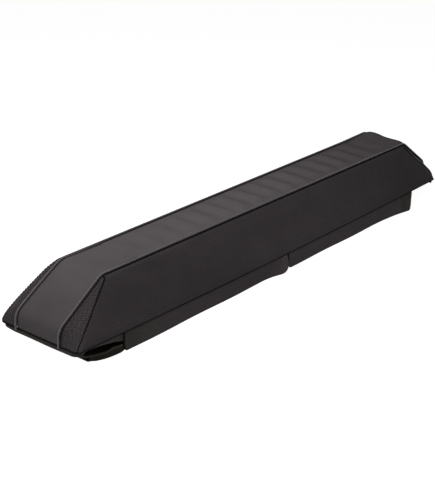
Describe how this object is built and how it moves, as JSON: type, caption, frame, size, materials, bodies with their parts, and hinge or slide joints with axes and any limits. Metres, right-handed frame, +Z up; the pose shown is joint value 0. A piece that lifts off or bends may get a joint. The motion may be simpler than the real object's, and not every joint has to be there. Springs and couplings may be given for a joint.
{
  "type": "roof rack crossbar pad",
  "caption": "Long foam block in a sewn cover with sloping ends and a ribbed grip strip on top; fabric flaps below close round a crossbar, to carry boards.",
  "frame": {"origin": "middle of the pad's plan, on the floor under the fabric wraps", "axes": "+X along the pad and the crossbar towards the end with the shorter wrap, +Y towards the side with the wraps' roots, +Z up from the crossbar to the grip strip"},
  "size_m": [0.7648, 0.122, 0.0904],
  "materials": {
    "foam": "closed-cell polyethylene foam, matte",
    "grip_fabric": "rubber-coated fabric with a fine pebbled grain",
    "base_fabric": "plain woven fabric, matte",
    "side_weave": "heavy basket weave, matte",
    "gusset_weave": "coarse basket weave, matte",
    "piping_cord": "coated fabric folded over a cord, stitched",
    "edge_tape": "ribbed binding tape, matte",
    "flap_weave": "plain pack cloth, matte",
    "wrap_weave": "plain pack cloth, matte",
    "loop_pile": "looped pile of a hook and loop closure",
    "hook_pile": "moulded hooks of a hook and loop closure"
  },
  "bodies": {
    "root": {"foam_core": "foam", "top_panel": "grip_fabric", "base_panel": "base_fabric", "front_side_panel": "side_weave", "rear_side_panel": "side_weave", "near_front_gusset": "gusset_weave", "near_rear_gusset": "gusset_weave", "far_front_gusset": "gusset_weave", "far_rear_gusset": "gusset_weave", "front_piping": "piping_cord", "rear_piping": "piping_cord", "near_end_binding": "edge_tape", "far_end_binding": "edge_tape", "front_root_tape": "edge_tape", "rear_root_tape": "edge_tape", "near_front_flap": "flap_weave", "far_front_flap": "flap_weave", "near_rear_wrap": "wrap_weave", "far_rear_wrap": "wrap_weave", "near_wrap_binding": "edge_tape", "far_wrap_binding": "edge_tape", "near_loop_strip": "loop_pile", "far_loop_strip": "loop_pile", "near_hook_strip": "hook_pile", "far_hook_strip": "hook_pile"}
  },
  "joints": []
}
